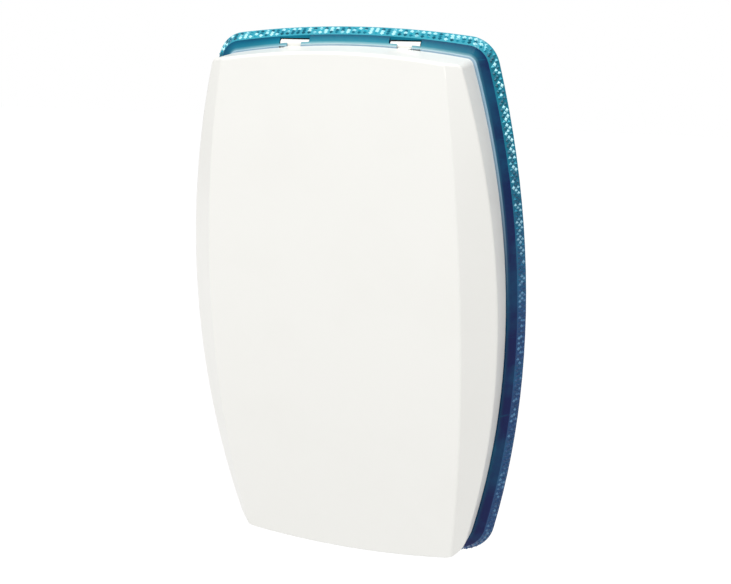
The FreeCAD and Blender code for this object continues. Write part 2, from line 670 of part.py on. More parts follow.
def sounder_horn():
    """Flared horn that clamps the diaphragm, with ribs and rings across its mouth."""
    x, z = SOUNDER_X, SOUNDER_Z
    outer = SOUNDER_RADIUS - 2.7
    profile = [
        Vector(HORN_THROAT_RADIUS, 10.5, 0), Vector(HORN_THROAT_RADIUS + 1.5, 15.5, 0), Vector(24, 22, 0),
        Vector(HORN_MOUTH_RADIUS, HORN_FRONT, 0), Vector(outer, HORN_FRONT, 0), Vector(outer, 8.6, 0),
        Vector(outer - 2, 8.6, 0), Vector(outer - 2, 24.4, 0), Vector(HORN_MOUTH_RADIUS + 0.2, 24.4, 0),
        Vector(25.9, 20.4, 0), Vector(25.9, 8.6, 0), Vector(23.9, 8.6, 0), Vector(23.9, 19.8, 0),
        Vector(HORN_THROAT_RADIUS + 3, 14, 0), Vector(HORN_THROAT_RADIUS + 2, 10.5, 0),
    ]
    face = Part.Face(Part.makePolygon(profile + profile[:1]))
    horn = face.revolve(Vector(0, 0, 0), Vector(0, 1, 0), 360)
    horn.rotate(Vector(0, 0, 0), Vector(1, 0, 0), 180)
    horn.translate(Vector(x, 0, z))
    parts = [horn]
    for index in range(3):
        rib = box((x - HORN_MOUTH_RADIUS - 1, x + HORN_MOUTH_RADIUS + 1), (HORN_FRONT - 1.6, HORN_FRONT),
                  (z - 0.8, z + 0.8))
        rib.rotate(at(x, 0, z), Vector(0, 1, 0), 60 * index)
        parts.append(rib)
    for radius in (12, 24):
        parts.append(peg(x, z, radius + 0.8, HORN_FRONT - 1.6, HORN_FRONT).cut(peg(x, z, radius - 0.8, 20, 30)))
    return fuse_all(parts)


def sounder_screws():
    """Screws through the sounder's ears."""
    return Part.makeCompound([pan_screw(x, z, SOUNDER_FRONT + 2, 18, 3.0, 1.1) for x, z in sounder_ears()])


# ---------------------------------------------------------------- battery
def battery_cells():
    """Six cells, three abreast and two high, each with its terminal nub."""
    cells = []
    for column in (-1, 0, 1):
        for row in (0, 1):
            x = BATTERY_X + column * CELL_PITCH
            z = BATTERY_BOTTOM + row * (CELL_LENGTH + 1.2)
            can = round_edges(upright(x, BATTERY_DEPTH, CELL_RADIUS, z, z + CELL_LENGTH - 1), 0.5,
                              lambda e: e.Closed)
            cells.append(can.fuse(upright(x, BATTERY_DEPTH, 2.6, z + CELL_LENGTH - 1, z + CELL_LENGTH)))
    return Part.makeCompound(cells)


def battery_sleeve():
    """Shrink sleeve round the pack, open at both ends."""
    bottom, top = BATTERY_BOTTOM + 0.8, BATTERY_BOTTOM + 2 * CELL_LENGTH - 0.8
    solids = []
    for radius in (CELL_RADIUS + SLEEVE_GAP + SLEEVE_WALL, CELL_RADIUS + SLEEVE_GAP):
        ends = [upright(BATTERY_X + side * CELL_PITCH, BATTERY_DEPTH, radius, bottom, top) for side in (-1, 1)]
        depths = (BATTERY_DEPTH - radius, BATTERY_DEPTH + radius)
        middle = box((BATTERY_X - CELL_PITCH, BATTERY_X + CELL_PITCH), depths, (bottom, top))
        solids.append(fuse_all(ends + [middle]))
    return solids[0].cut(solids[1])


def battery_strap():
    """Sheet-metal strap over the pack, with a screw foot on each side."""
    (left, z), (right, _) = strap_feet()
    half = 1.5 * CELL_PITCH + 1.0
    top = BATTERY_DEPTH + CELL_RADIUS + SLEEVE_WALL + 0.3
    span = (z - 5, z + 5)
    bridge = box((BATTERY_X - half - 1.2, BATTERY_X + half + 1.2), (7, top + 1.2), span)
    bridge = bridge.cut(box((BATTERY_X - half, BATTERY_X + half), (6, top), (z - 6, z + 6)))
    feet = [box((left - 4, BATTERY_X - half), (7, 8.2), span), box((BATTERY_X + half, right + 4), (7, 8.2), span)]
    strap = fuse_all([bridge] + feet)
    for x, foot_z in strap_feet():
        strap = strap.cut(peg(x, foot_z, 1.5, 6, 10))
    return strap


def battery_strap_screws():
    """Screws through the strap's feet."""
    return Part.makeCompound([pan_screw(x, z, 8.2, 2.5, 2.6, 1.1) for x, z in strap_feet()])


def lead_pair(x, points):
    """Two wires side by side along the same route."""
    wires = []
    for side in (-0.5, 0.5):
        shift = x + side * LEAD_PITCH
        wires.append(lead([at(shift, depth, z) for depth, z in points], LEAD_RADIUS))
    return Part.makeCompound(wires)


def battery_leads():
    """Wires from the top of the battery pack to its plug."""
    top = BATTERY_BOTTOM + 2 * CELL_LENGTH + 2.0
    plug_depth = BOARD_FRONT + 3.5
    return lead_pair(BATTERY_PLUG_X, [(BATTERY_DEPTH, top), (BATTERY_DEPTH, 14), (plug_depth, 25),
                                      (plug_depth, PLUG_BOTTOM)])


def sounder_leads():
    """Wires from the rim of the sounder to its plug."""
    plug_depth = BOARD_FRONT + 3.5
    return lead_pair(SOUNDER_PLUG_X, [(12.5, -14.0), (12.5, 8), (plug_depth, 22), (plug_depth, PLUG_BOTTOM)])


# ---------------------------------------------------------------- front cover
def facet_cutter(side, inward):
    """Space outside one sloping side facet, moved inwards for the cover's inner surface."""
    ridge = []
    edge = []
    for share in (-1, 0, 1):
        z = share * FACET_STATION
        ridge_x = RIDGE_MIDDLE + (RIDGE_END - RIDGE_MIDDLE) * share ** 2 + RIDGE_LEAN * share
        edge_depth = FACET_MIDDLE + (FACET_END - FACET_MIDDLE) * share ** 2 + FACET_LEAN * share
        on_ridge = at(side * ridge_x, front_depth(z), z)
        on_edge = at(side * outline_x(z, COVER_INSET), edge_depth, z)
        slope = on_edge - on_ridge
        ridge.append(on_ridge - slope * 0.6)
        edge.append(on_edge + slope * 0.6)
    face = Part.makeRuledSurface(Part.Arc(*ridge).toShape(), Part.Arc(*edge).toShape())
    cutter = face.extrude(Vector(0, -60, 0))
    shift = inward * math.sqrt(0.5)
    cutter.translate(Vector(-side * shift, shift, 0))
    return cutter


def cover_form(inward, rear):
    """The cover as a solid block, or with inward set, the hollow inside it."""
    block = barrel(COVER_INSET + inward, rear, CROWN_DEPTH + 5)
    radius = CROWN_RADIUS - inward
    centre = at(-WIDTH / 2 - 10, CROWN_DEPTH - CROWN_RADIUS, CROWN_HEIGHT)
    block = block.common(Part.makeCylinder(radius, WIDTH + 20, centre, Vector(1, 0, 0)))
    for side in (-1, 1):
        block = block.cut(facet_cutter(side, inward))
    return block


def hinge_hook(x):
    """Open hook round a hinge pin, joined to the cover's top wall by a narrow arm."""
    start = x - HOOK_WIDTH / 2
    along = Vector(1, 0, 0)
    eye = Part.makeCylinder(HOOK_RADIUS, HOOK_WIDTH, at(start, HINGE_DEPTH, HINGE_Z), along)
    heights = (HINGE_Z - HOOK_RADIUS, HINGE_Z - 0.6)
    arm = box(span_about(x, HOOK_ARM_WIDTH / 2), (HINGE_DEPTH, COVER_REAR + 3), heights)
    hook = eye.fuse(arm)
    hook = hook.cut(Part.makeCylinder(PIN_RADIUS + PIN_CLEARANCE, HOOK_WIDTH, at(start, HINGE_DEPTH, HINGE_Z), along))
    mouth = box((start - 1, start + HOOK_WIDTH + 1), (HINGE_DEPTH - 6, HINGE_DEPTH), (HINGE_Z - 0.95, HINGE_Z + 0.95))
    return hook.cut(mouth)


def cover_ribs():
    """Crossed stiffening ribs on the inside of the cover's front."""
    layer = cover_form(COVER_WALL - 0.2, COVER_REAR + 10).cut(cover_form(COVER_WALL + RIB_HEIGHT, COVER_REAR + 9))
    depths = (COVER_REAR + 15, CROWN_DEPTH)
    upright_ribs = [box(span_about(x, RIB_WIDTH / 2), depths, (-RIB_HALF_LENGTH, RIB_HALF_LENGTH)) for x in RIBS_X]
    level_ribs = [box((-RIB_HALF_SPAN, RIB_HALF_SPAN), depths, span_about(z, RIB_WIDTH / 2)) for z in RIBS_Z]
    return layer.common(fuse_all(upright_ribs + level_ribs))


def sound_slots():
    """Slots through the cover's bottom wall that let the sound out."""
    places = [side * (18 + 7 * step) for side in (-1, 1) for step in range(5)]
    return [box((x - 1.5, x + 1.5), (15.5, 24.5), (-HEIGHT / 2, -HEIGHT / 2 + 18)) for x in places]


def front_cover():
    """Hollow barrel cover with hinge hooks, screw boss, tamper post and sound slots."""
    outer = cover_form(0, COVER_REAR)
    outer = round_edges(outer, EDGE_ROUND, lambda e: e.BoundBox.YMax < -COVER_REAR - 1 and e.Length > 20)
    outer = outer.makeChamfer(RIM_CHAMFER, [e for e in outer.Edges if e.BoundBox.YMin > -COVER_REAR - 0.1])
    shell = outer.cut(cover_form(COVER_WALL, COVER_REAR - 1))
    boss = upright(0, SCREW_DEPTH, SCREW_BOSS_RADIUS, -HEIGHT / 2 + COVER_INSET + 0.8, SCREW_BOSS_TOP)
    post = peg(TAMPER_X, TAMPER_Z, 4.0, 33.3, front_depth(TAMPER_Z) - 1)
    parts = [shell, boss, post, cover_ribs()] + [hinge_hook(x) for x in (-HOOK_CENTRE, HOOK_CENTRE)]
    cover = fuse_all(parts)
    cover = cover.cut(upright(0, SCREW_DEPTH, SCREW_HEAD_RADIUS + 0.4, -HEIGHT / 2, SCREW_BOSS_TOP - SCREW_BOSS_FLOOR))
    cover = cover.cut(upright(0, SCREW_DEPTH, SCREW_RADIUS + 0.08, -HEIGHT / 2, SCREW_BOSS_TOP + 1))
    for slot in sound_slots():
        cover = cover.cut(slot)
    return cover


def cover_screw():
    """Captive screw with a cross recess, backed off so that its tip is level with the boss."""
    under_head = SCREW_HEAD_BOTTOM + SCREW_HEAD_HEIGHT
    head = upright(0, SCREW_DEPTH, SCREW_HEAD_RADIUS, SCREW_HEAD_BOTTOM, under_head)
    head = round_edges(head, 0.5, lambda e: e.CenterOfMass.z < SCREW_HEAD_BOTTOM + 0.01)
    screw = head.fuse(upright(0, SCREW_DEPTH, SCREW_RADIUS, under_head, under_head + SCREW_SHANK))
    recess = (SCREW_HEAD_BOTTOM - 1, SCREW_HEAD_BOTTOM + 1.3)
    arm = SCREW_HEAD_RADIUS * 0.62
    near, far = SCREW_DEPTH - arm, SCREW_DEPTH + arm
    screw = screw.cut(box((-arm, arm), (SCREW_DEPTH - 0.45, SCREW_DEPTH + 0.45), recess))
    return screw.cut(box((-0.45, 0.45), (near, far), recess))


def screw_washer():
    """Sealing washer under the cover screw's head."""
    bottom = SCREW_HEAD_BOTTOM + SCREW_HEAD_HEIGHT + 0.02
    disc = upright(0, SCREW_DEPTH, SCREW_HEAD_RADIUS + 0.1, bottom, bottom + SCREW_WASHER)
    return disc.cut(upright(0, SCREW_DEPTH, SCREW_RADIUS + 0.05, bottom - 1, bottom + 2))


# ---------------------------------------------------------------- write the pieces
def pieces():
    """Every node of the siren by name."""
    nodes = {
        "back_plate": back_plate(), "wall_gasket": wall_gasket(), "cable_grommet": cable_grommet(),
        "lens_ring": lens_ring(), "lens_screws": lens_screws(), "cover_seal": cover_seal(),
        "hinge_pins": Part.makeCompound(hinge_pins()), "screw_insert": screw_insert(),
        "level_vial": level_vial(), "level_bubble": level_bubble(),
        "circuit_board": circuit_board(), "board_screws": board_screws(),
        "terminal_block": terminal_block(), "terminal_screws": terminal_screws(),
        "capacitors": capacitors(), "driver_chips": driver_chips(),
        "sounder_transformer": sounder_transformer(), "battery_plug": plug(BATTERY_PLUG_X),
        "sounder_plug": plug(SOUNDER_PLUG_X), "comfort_leds": comfort_leds(),
        "led_strips": led_strips(), "strobe_leds": strobe_leds(), "dip_switch_body": dip_switch_body(),
        "cover_tamper_switch": cover_tamper_switch(), "cover_tamper_plunger": cover_tamper_plunger(),
        "cover_tamper_spring": cover_tamper_spring(), "wall_tamper_housing": wall_tamper_housing(),
        "wall_tamper_plunger": wall_tamper_plunger(), "wall_tamper_spring": wall_tamper_spring(),
        "sounder_housing": sounder_housing(), "piezo_disc": piezo_disc(),
        "sounder_horn": sounder_horn(), "sounder_screws": sounder_screws(),
        "battery_cells": battery_cells(), "battery_sleeve": battery_sleeve(),
        "battery_strap": battery_strap(), "battery_strap_screws": battery_strap_screws(),
        "battery_leads": battery_leads(), "sounder_leads": sounder_leads(),
        "front_cover": front_cover(), "cover_screw": cover_screw(), "screw_washer": screw_washer(),
    }
    for index, x in enumerate(dip_slider_places()):
        nodes["dip_slider_%d" % (index + 1)] = dip_slider(x)
    return nodes


os.makedirs("parts", exist_ok=True)
for node, shape in pieces().items():
    shape.exportStep("parts/%s.step" % node)
    print(node, len(shape.Solids), shape.isValid(), round(shape.Volume, 1))
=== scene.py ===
import json
import math
import random

import bpy
from bpy.props import FloatProperty, FloatVectorProperty, IntProperty, PointerProperty
from bpy.types import Operator, Panel, PropertyGroup
from mathutils import Matrix, Vector


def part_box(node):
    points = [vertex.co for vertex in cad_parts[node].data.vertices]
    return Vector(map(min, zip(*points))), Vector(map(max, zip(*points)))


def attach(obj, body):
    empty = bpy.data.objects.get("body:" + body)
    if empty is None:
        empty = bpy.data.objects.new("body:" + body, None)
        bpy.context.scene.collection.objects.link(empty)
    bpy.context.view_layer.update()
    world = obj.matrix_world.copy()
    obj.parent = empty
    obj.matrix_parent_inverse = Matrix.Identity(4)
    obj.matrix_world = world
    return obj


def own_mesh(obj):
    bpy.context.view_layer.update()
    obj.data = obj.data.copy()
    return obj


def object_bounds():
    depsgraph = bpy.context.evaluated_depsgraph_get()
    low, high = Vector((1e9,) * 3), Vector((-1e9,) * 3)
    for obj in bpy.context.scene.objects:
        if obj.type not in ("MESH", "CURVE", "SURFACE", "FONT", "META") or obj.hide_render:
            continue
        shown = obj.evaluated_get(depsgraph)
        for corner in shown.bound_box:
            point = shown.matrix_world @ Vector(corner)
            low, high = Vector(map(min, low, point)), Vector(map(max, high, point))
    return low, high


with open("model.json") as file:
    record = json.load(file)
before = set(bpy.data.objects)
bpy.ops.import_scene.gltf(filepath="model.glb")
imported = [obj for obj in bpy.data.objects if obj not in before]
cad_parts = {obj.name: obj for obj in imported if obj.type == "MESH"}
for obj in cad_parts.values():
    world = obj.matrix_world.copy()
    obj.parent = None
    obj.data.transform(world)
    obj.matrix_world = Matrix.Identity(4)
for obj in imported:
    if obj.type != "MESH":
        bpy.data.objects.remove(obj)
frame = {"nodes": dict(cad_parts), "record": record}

bl_info = {
    "name": "Alarm Siren",
    "version": (1, 0, 0),
    "blender": (4, 5, 0),
    "location": "View3D > Sidebar > Siren",
    "description": "Finishes and fine detail of a wall-mounted alarm siren",
    "category": "Object",
}

# The housing is measured once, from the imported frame.  Lengths are in metres; the front faces -Y.
CAD_LOW, CAD_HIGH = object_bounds()
NODES = frame["nodes"]
MM = 0.001
BLACK = (0.0, 0.0, 0.0, 1.0)
GREY = (0.5, 0.5, 0.5, 1.0)
WHITE = (1.0, 1.0, 1.0, 1.0)

# Painted light: the ring's tint is painted brighter from the first height to the second, above the ring's
# middle, and painted shade darkens it below.
PAINTED_LIGHT_STARTS = -5 * MM
PAINTED_LIGHT_FULL = 125 * MM

# Shares of the ring's depth, from its rear edge, where the colours of its smooth band change; the last of
# them lead into a painted highlight on the front lip.
RIM_STARTS, RIM_HALF, RIM_FULL = 0.88, 0.95, 0.98
LIP_STARTS, LIP_FULL = 0.95, 0.985
# Painted light on the smooth band where it faces up: from dark teal to a painted pale highlight at the
# front, by share of depth.
TOP_LIGHT_STARTS = 0.66
TOP_LIGHT_STEPS = (
    (0.76, (0.004, 0.168, 0.262, 1.0)), (0.88, (0.027, 0.262, 0.346, 1.0)),
    (0.95, (0.28, 0.53, 0.58, 1.0)), (1.0, (0.59, 0.69, 0.70, 1.0)),
)

# Along the top, the painted light fades from the first distance off the middle, and most at the corners.
ENDS_START = 30 * MM
CORNER_MARGIN = 10 * MM
ENDS_SHARE = 0.6
# How fast the painted light follows a face turning up.
UP_LIGHT_GAIN = 1.9

# Prisms: how deep their feet are sunk, the width of their flat tips, and the rays that find the ring.
PRISM_SUNK = 0.2 * MM
PRISM_TIP = 0.05
PRISM_SEED = 3
RING_RAYS = 6000
# How much painted light a prism facet gets for facing up.
PRISM_UP_LIGHT = 0.28

# Chip resistors: half sizes of body and end cap, and the columns they stand in, in millimetres.
RESISTOR_HALF = (1.0, 0.35, 0.6)
CAP_HALF = (0.28, 0.38, 0.64)
CAP_REACH = 1.05 * MM
RESISTOR_COLUMNS = ((-20.0, 62.0), (-6.0, 48.0), (16.0, 66.0), (-44.0, 50.0))
COLUMN_WIDTH = 3
COLUMN_STEP_X, COLUMN_STEP_Z = 3.4, 3.0
RESISTOR_SEED = 7

# Stage: the broad light's direction and spread, the area lights, and the camera's film.
SKY_FROM = (-0.06, -0.35, 0.90)
SKY_SPREAD = 50.0
AREA_LIGHTS = (("key", (-0.10, -1.00, 0.75), 0.6, 1.0), ("top", (0.25, 0.05, 0.85), 0.25, 0.6))
FLOOR_SIZE = 12.0
FILM_WIDTH = 36.0
FILM_SHIFT = (0.0086, 0.0114)


def span(node):
    """(low, high) corners of a node as vectors."""
    low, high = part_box(node)
    return Vector(low), Vector(high)


def centre(node):
    """Middle of a node's box."""
    low, high = span(node)
    return (low + high) / 2


# ---------------------------------------------------------------- sizes and colours
def colour_property(name, description, default):
    """A linear RGBA colour that a user can change."""
    return FloatVectorProperty(name=name, description=description, subtype="COLOR", size=4,
                               min=0.0, max=1.0, default=default)


def length_property(name, description, default):
    """A length in metres that a user can change."""
    return FloatProperty(name=name, description=description, default=default, unit="LENGTH", precision=5)


class SirenCoverSettings(PropertyGroup):
    """Finish of the white front cover."""
    shade: colour_property("Shade", "Warm white of the moulded cover", (0.83, 0.825, 0.79, 1.0))
    soiling: colour_property("Soiling", "Tint of the faint handling marks", (0.70, 0.69, 0.64, 1.0))
    roughness: FloatProperty(name="Roughness", description="Gloss of the cover", default=0.36)
    texture: length_property("Texture", "Size of one grain of the moulded texture", 0.0007)


class SirenLensSettings(PropertyGroup):
    """Finish and prisms of the translucent ring."""
    # Painted light and shade: the prism band's tint high on the ring, and a darker painted-shade copy of
    # it low on the ring.
    prism_tint: colour_property("Prism tint", "Tint of the prism band", (0.006, 0.19, 0.29, 1.0))
    shaded_low_tint: colour_property("Low tint", "Tint of the prism band below the lamps",
                              (0.026, 0.080, 0.215, 1.0))
    # Painted glint: the tint of the brightest prisms.
    glint_tint: colour_property("Glint tint", "Tint of the brightest prisms", (0.50, 0.88, 0.94, 1.0))
    smooth_tint: colour_property("Smooth tint", "Tint of the smooth band", (0.012, 0.020, 0.095, 1.0))
    # Painted light: the smooth band's tint where it faces up.
    top_light_tint: colour_property("Top tint", "Tint of the smooth band where it faces up",
                              (0.002, 0.075, 0.15, 1.0))
    # Painted light: a brighter tint where the prism band faces up.
    band_top_light_tint: colour_property("Band top tint", "Tint of the prism band where it faces up",
                                   (0.07, 0.42, 0.52, 1.0))
    rim_tint: colour_property("Rim tint", "Tint between the smooth band and the lip",
                              (0.008, 0.16, 0.26, 1.0))
    # Painted highlight along the thin front lip.
    lip_highlight_tint: colour_property("Lip tint", "Tint of the thin front lip", (0.46, 0.66, 0.82, 1.0))
    # Painted shade: a darker rim and lip low on the ring, in place of the painted highlight.
    shaded_low_rim_tint: colour_property("Low rim tint", "Tint of the rim and lip below the lamps",
                                  (0.012, 0.055, 0.13, 1.0))
    band_depth: length_property("Band depth", "Depth of the prism band from the rear edge", 0.0054)
    band_inset: length_property("Band inset", "How far the prism band slopes inwards", 0.0035)
    pitch: length_property("Pitch", "Distance between prisms along the ring", 0.0030)
    row_gap: length_property("Row gap", "Distance between rows of prisms", 0.0015)
    first_row: length_property("First row", "Distance of the first row from the rear edge", 0.0015)
    height: length_property("Height", "How far a prism stands out", 0.0007)
    rows: IntProperty(name="Rows", description="Rows of prisms", default=3, min=1, max=6)


class SirenInsideSettings(PropertyGroup):
    """Colours of the pieces inside the housing."""
    base: colour_property("Back plate", "Dark grey of the moulded back plate", (0.045, 0.05, 0.055, 1.0))
    board: colour_property("Board", "Green of the solder mask", (0.008, 0.085, 0.030, 1.0))
    copper: colour_property("Tracks", "Green over the copper tracks", (0.018, 0.17, 0.060, 1.0))
    sleeve: colour_property("Sleeve", "Film round the battery pack", (0.015, 0.07, 0.24, 1.0))
    plunger: colour_property("Plunger", "Acetal of the two plungers", (0.72, 0.16, 0.02, 1.0))
    small_parts: IntProperty(name="Small parts", description="Chip resistors on the board", default=46)


class SirenStageSettings(PropertyGroup):
    """Floor, lights and camera."""
    floor_shade: colour_property("Floor", "Pale floor", (0.95, 0.95, 0.95, 1.0))
    floor_drop: length_property("Floor drop", "Distance of the floor below the siren", 0.90)
    distance: length_property("Distance", "Camera to the middle of the siren", 0.670)
    azimuth: FloatProperty(name="Azimuth", description="Camera turn to the right", default=0.355,
                           unit="ROTATION")
    elevation: FloatProperty(name="Elevation", description="Camera height angle", default=0.325,
                             unit="ROTATION")
    roll: FloatProperty(name="Roll", description="Camera roll", default=0.022, unit="ROTATION")
    lens: FloatProperty(name="Lens", description="Focal length in millimetres", default=59.05)
    world: FloatProperty(name="World", description="Strength of the white surroundings", default=0.51)
    sky: FloatProperty(name="Sky", description="Strength of the broad light from above and in front",
                       default=2.0)
    key: FloatProperty(name="Key", description="Power of the key light in watts", default=2.5)


# ---------------------------------------------------------------- shader helpers
def new_group(name, inputs, outputs):
    """Empty shader node group with float or colour sockets; returns (tree, input node, output node)."""
    tree = bpy.data.node_groups.new(name, "ShaderNodeTree")
    for label, kind, default in inputs:
        socket = tree.interface.new_socket(name=label, in_out="INPUT", socket_type=kind)
        socket.default_value = default
    for label, kind in outputs:
        tree.interface.new_socket(name=label, in_out="OUTPUT", socket_type=kind)
    return tree, tree.nodes.new("NodeGroupInput"), tree.nodes.new("NodeGroupOutput")


def math_node(tree, operation, first, second):
    """Math node whose inputs are numbers or sockets; returns its output."""
    node = tree.nodes.new("ShaderNodeMath")
    node.operation = operation
    for socket, value in zip(node.inputs, (first, second)):
        if isinstance(value, (int, float)):
            socket.default_value = value
        else:
            tree.links.new(value, socket)
    return node.outputs[0]


def mix_colours(tree, factor, first, second):
    """Colour mix whose three inputs are values or sockets; returns its output."""
    node = tree.nodes.new("ShaderNodeMix")
    node.data_type = "RGBA"
    for socket, value in ((node.inputs[0], factor), (node.inputs[6], first), (node.inputs[7], second)):
        if hasattr(value, "is_output"):
            tree.links.new(value, socket)
        else:
            socket.default_value = value
    return node.outputs[2]


def noise(tree, scale, detail, vector):
    """Noise texture on a vector; returns its factor output."""
    node = tree.nodes.new("ShaderNodeTexNoise")
    node.inputs["Detail"].default_value = detail
    if hasattr(scale, "is_output"):
        tree.links.new(scale, node.inputs["Scale"])
    else:
        node.inputs["Scale"].default_value = scale
    tree.links.new(vector, node.inputs["Vector"])
    return node.outputs["Fac"]


def ramp(tree, factor, stops):
    """Colour ramp with (place, colour) stops; returns its colour output."""
    node = tree.nodes.new("ShaderNodeValToRGB")
    elements = node.color_ramp.elements
    while len(elements) < len(stops):
        elements.new(0.5)
    for element, (place, colour) in zip(elements, stops):
        element.position = place
        element.color = colour
    tree.links.new(factor, node.inputs["Fac"])
    return node.outputs["Color"]


def raised(tree, value, floor, gain):
    """What stands above a floor, times a gain."""
    return math_node(tree, "MULTIPLY", math_node(tree, "SUBTRACT", value, floor), gain)


def object_place(tree):
    """Object coordinates as a vector output."""
    return tree.nodes.new("ShaderNodeTexCoord").outputs["Object"]


def split_vector(tree, vector):
    """The X, Y and Z outputs of a vector."""
    node = tree.nodes.new("ShaderNodeSeparateXYZ")
    tree.links.new(vector, node.inputs["Vector"])
    return node.outputs


def map_range(tree, value, start, end):
    """Map Range node from start to end; returns the node."""
    node = tree.nodes.new("ShaderNodeMapRange")
    node.inputs["From Min"].default_value = start
    node.inputs["From Max"].default_value = end
    tree.links.new(value, node.inputs["Value"])
    return node


def moulded_grain_group():
    """Fine texture of a moulded or cast face: a height, and a slow mask for uneven gloss."""
    tree, entry, result = new_group(
        "Moulded grain",
        [("Grains per metre", "NodeSocketFloat", 1500.0)],
        [("Height", "NodeSocketFloat"), ("Unevenness", "NodeSocketFloat")],
    )
    place = object_place(tree)
    fine = noise(tree, entry.outputs[0], 3.0, place)
    slow = noise(tree, 34.0, 4.0, place)
    cells = tree.nodes.new("ShaderNodeTexVoronoi")
    tree.links.new(place, cells.inputs["Vector"])
    tree.links.new(entry.outputs[0], cells.inputs["Scale"])
    height = math_node(tree, "MULTIPLY_ADD", cells.outputs["Distance"], 0.6)
    tree.links.new(fine, height.node.inputs[2])
    tree.links.new(height, result.inputs["Height"])
    tree.links.new(slow, result.inputs["Unevenness"])
    return tree


def soiling_group():
    """Colour with faint marks: smudges, and thin scratches where pieces are handled."""
    tree, entry, result = new_group(
        "Soiling",
        [("Clean", "NodeSocketColor", WHITE), ("Soiled", "NodeSocketColor", GREY),
         ("Amount", "NodeSocketFloat", 0.3)],
        [("Colour", "NodeSocketColor"), ("Mask", "NodeSocketFloat")],
    )
    place = object_place(tree)
    smudge = raised(tree, noise(tree, 22.0, 6.0, place), 0.48, 3.0)
    stretch = tree.nodes.new("ShaderNodeMapping")
    stretch.inputs["Scale"].default_value = (60.0, 60.0, 900.0)
    stretch.inputs["Rotation"].default_value = (0.3, 0.7, 0.2)
    tree.links.new(place, stretch.inputs["Vector"])
    scratch = raised(tree, noise(tree, 1.0, 2.0, stretch.outputs["Vector"]), 0.66, 4.0)
    both = math_node(tree, "MAXIMUM", smudge, scratch)
    both.node.use_clamp = True
    mask = math_node(tree, "MULTIPLY", both, entry.outputs["Amount"])
    colour = mix_colours(tree, mask, entry.outputs["Clean"], entry.outputs["Soiled"])
    tree.links.new(colour, result.inputs["Colour"])
    tree.links.new(mask, result.inputs["Mask"])
    return tree


def brushed_group():
    """Drawn or turned metal: long fine lines along one axis."""
    tree, entry, result = new_group(
        "Brushed lines",
        [("Lines per metre", "NodeSocketFloat", 4000.0)],
        [("Height", "NodeSocketFloat"), ("Unevenness", "NodeSocketFloat")],
    )
    place = object_place(tree)
    stretch = tree.nodes.new("ShaderNodeMapping")
    stretch.inputs["Scale"].default_value = (0.03, 1.0, 1.0)
    tree.links.new(place, stretch.inputs["Vector"])
    lines = noise(tree, entry.outputs[0], 2.0, stretch.outputs["Vector"])
    tree.links.new(lines, result.inputs["Height"])
    tree.links.new(noise(tree, 160.0, 3.0, place), result.inputs["Unevenness"])
    return tree


def use_group(tree, group, **values):
    """Places a shared group in a material, with its own values."""
    node = tree.nodes.new("ShaderNodeGroup")
    node.node_tree = bpy.data.node_groups[group]
    for label, value in values.items():
        node.inputs[label.replace("_", " ")].default_value = value
    return node


def plain_material(name):
    """New node material; returns (material, tree, Principled BSDF)."""
    material = bpy.data.materials.new(name)
    material.use_nodes = True
    tree = material.node_tree
    return material, tree, tree.nodes["Principled BSDF"]


def add_bump(tree, shader, height, strength, distance):
    """Bump from a height socket into the shader's normal."""
    bump = tree.nodes.new("ShaderNodeBump")
    bump.inputs["Strength"].default_value = strength
    bump.inputs["Distance"].default_value = distance
    tree.links.new(height, bump.inputs["Height"])
    tree.links.new(bump.outputs["Normal"], shader.inputs["Normal"])


def vary_roughness(tree, shader, unevenness, roughness, spread):
    """Roughness that drifts about a mean value."""
    drift = math_node(tree, "MULTIPLY", math_node(tree, "SUBTRACT", unevenness, 0.5), spread)
    tree.links.new(math_node(tree, "ADD", drift, roughness), shader.inputs["Roughness"])


def darker(colour, share):
    """The colour scaled towards black."""
    return (colour[0] * share, colour[1] * share, colour[2] * share, 1.0)


def moulding(name, colour, roughness, grains=1500.0, bump=0.25, soiled=None, amount=0.5, coat=0.0):
    """Moulded plastic, rubber or laminate."""
    material, tree, shader = plain_material(name)
    grain = use_group(tree, "Moulded grain", Grains_per_metre=grains)
    marks = use_group(tree, "Soiling", Clean=colour, Soiled=soiled or darker(colour, 0.72),
                      Amount=amount)
    tree.links.new(marks.outputs["Colour"], shader.inputs["Base Color"])
    vary_roughness(tree, shader, grain.outputs["Unevenness"], roughness, 0.22)
    add_bump(tree, shader, grain.outputs["Height"], bump, 0.00008)
    shader.inputs["Coat Weight"].default_value = coat
    shader.inputs["Coat Roughness"].default_value = 0.12
    return material


def metal(name, colour, roughness, lines=4000.0, tarnish=None):
    """Plated, drawn or turned metal with light tarnish."""
    material, tree, shader = plain_material(name)
    brushed = use_group(tree, "Brushed lines", Lines_per_metre=lines)
    marks = use_group(tree, "Soiling", Clean=colour, Soiled=tarnish or darker(colour, 0.55), Amount=0.6)
    tree.links.new(marks.outputs["Colour"], shader.inputs["Base Color"])
    vary_roughness(tree, shader, brushed.outputs["Unevenness"], roughness, 0.25)
    add_bump(tree, shader, brushed.outputs["Height"], 0.2, 0.00005)
    shader.inputs["Metallic"].default_value = 1.0
    return material


def split_by_axis(name, axis, place, below, above, roughness):
    """Two colours on one piece, divided by a plane across an axis, as on a two-wire lead."""
    material = moulding(name, below, roughness)
    tree = material.node_tree
    shader = tree.nodes["Principled BSDF"]
    mask = math_node(tree, "GREATER_THAN", split_vector(tree, object_place(tree))[axis], place)
    first = shader.inputs["Base Color"].links[0].from_socket
    second = use_group(tree, "Soiling", Clean=above, Soiled=darker(above, 0.7), Amount=0.5)
    tree.links.new(mix_colours(tree, mask, first, second.outputs["Colour"]), shader.inputs["Base Color"])
    return material


def finish(material, *nodes):
    """Gives CAD nodes or new pieces this material on every face."""
    for node in nodes:
        piece = NODES[node] if isinstance(node, str) else node
        piece.data.materials.clear()
        piece.data.materials.append(material)


